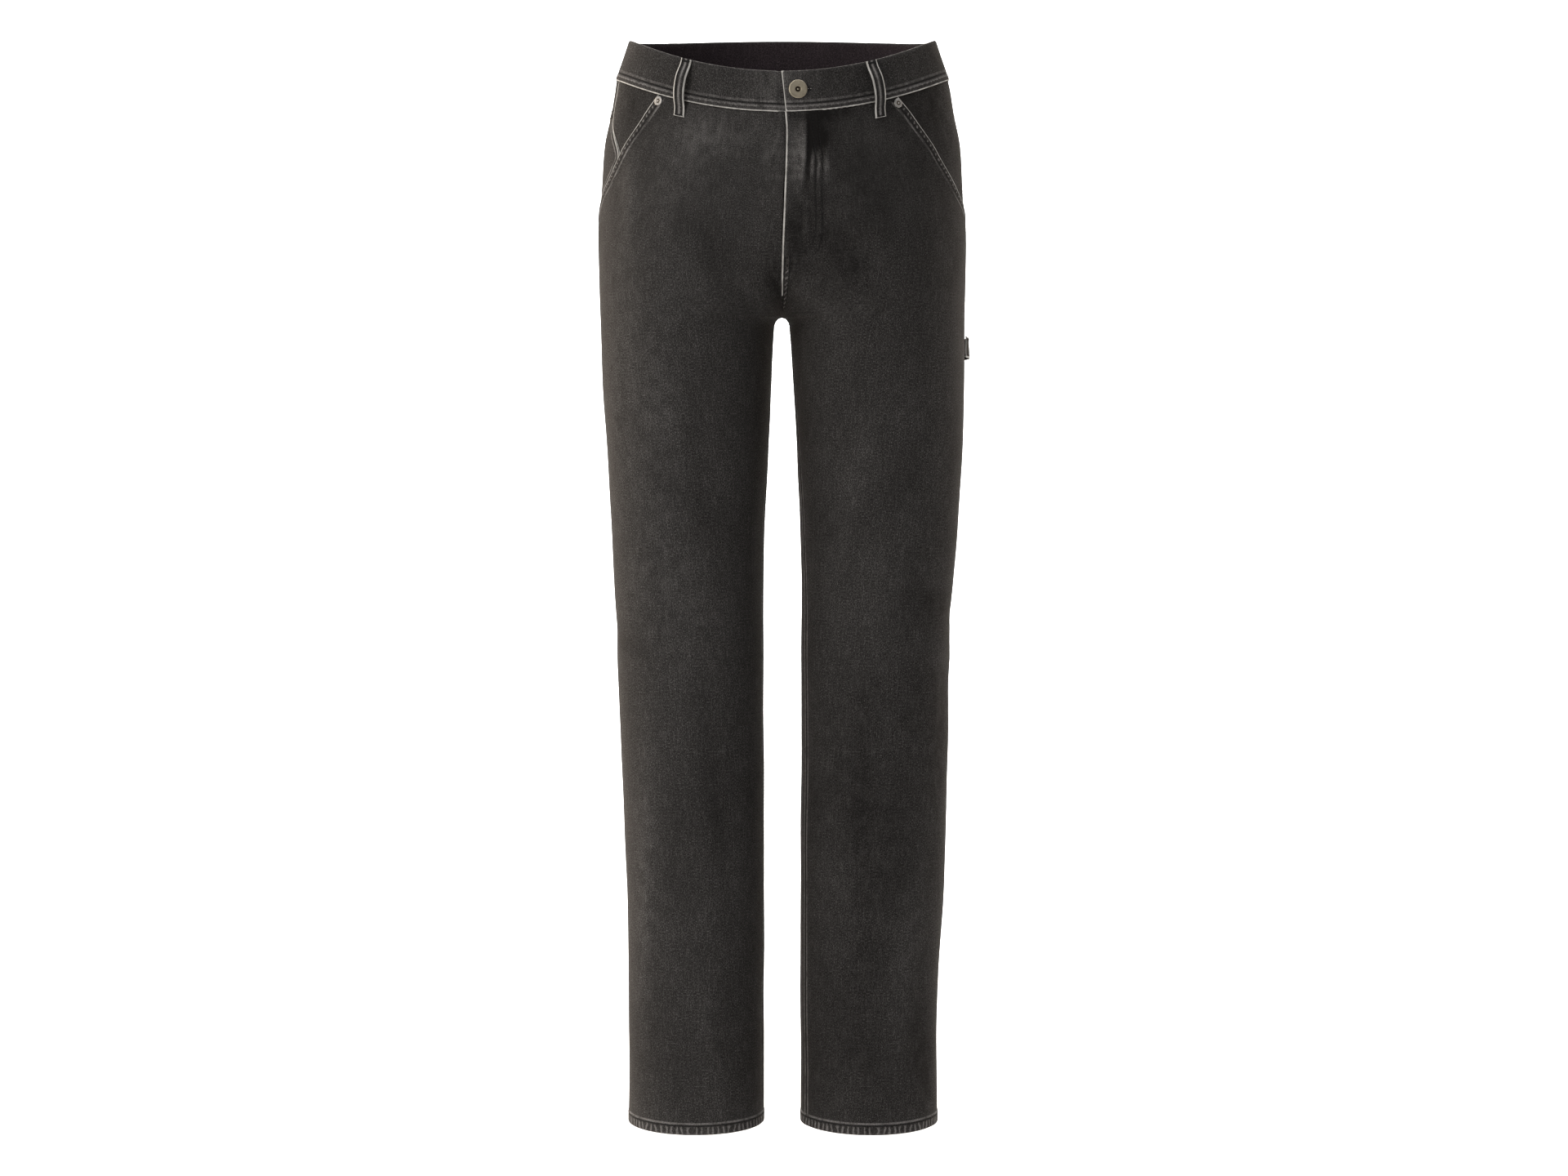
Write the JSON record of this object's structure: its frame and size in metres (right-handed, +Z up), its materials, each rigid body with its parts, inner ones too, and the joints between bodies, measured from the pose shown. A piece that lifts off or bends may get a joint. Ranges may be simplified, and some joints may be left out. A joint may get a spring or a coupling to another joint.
{
  "type": "carpenter pants",
  "caption": "Straight-leg carpenter pants in washed black denim, filled out as worn, with a zip fly, slanted front pockets, belt loops and a hammer loop.",
  "frame": {"origin": "middle of the waist opening, level with the top edge of the waistband at the sides", "axes": "+Z up along the body, -Y towards the front of the wearer, +X towards the wearer's left"},
  "size_m": [0.3658, 0.2604, 1.0716],
  "materials": {
    "washed_denim": "washed black twill, matte, worn pale along the seams",
    "denim_inside": "inner face of the twill, matte",
    "button_metal": "aged nickel, satin",
    "rivet_metal": "nickel, satin"
  },
  "bodies": {
    "root": {"front_panel_left": "washed_denim", "front_panel_right": "washed_denim", "back_panel_left": "washed_denim", "back_panel_right": "washed_denim", "yoke_left": "washed_denim", "yoke_right": "washed_denim", "pocket_facing_left": "washed_denim", "pocket_facing_right": "washed_denim", "waistband": "washed_denim", "fly_shield": "denim_inside", "zip_tape": "denim_inside", "belt_loop_front_left": "washed_denim", "belt_loop_front_right": "washed_denim", "belt_loop_back_left": "washed_denim", "belt_loop_back_right": "washed_denim", "belt_loop_back_middle": "washed_denim", "hammer_loop": "washed_denim", "pocket_rivet_left": "rivet_metal", "pocket_rivet_right": "rivet_metal", "waist_button": "button_metal"}
  },
  "joints": []
}
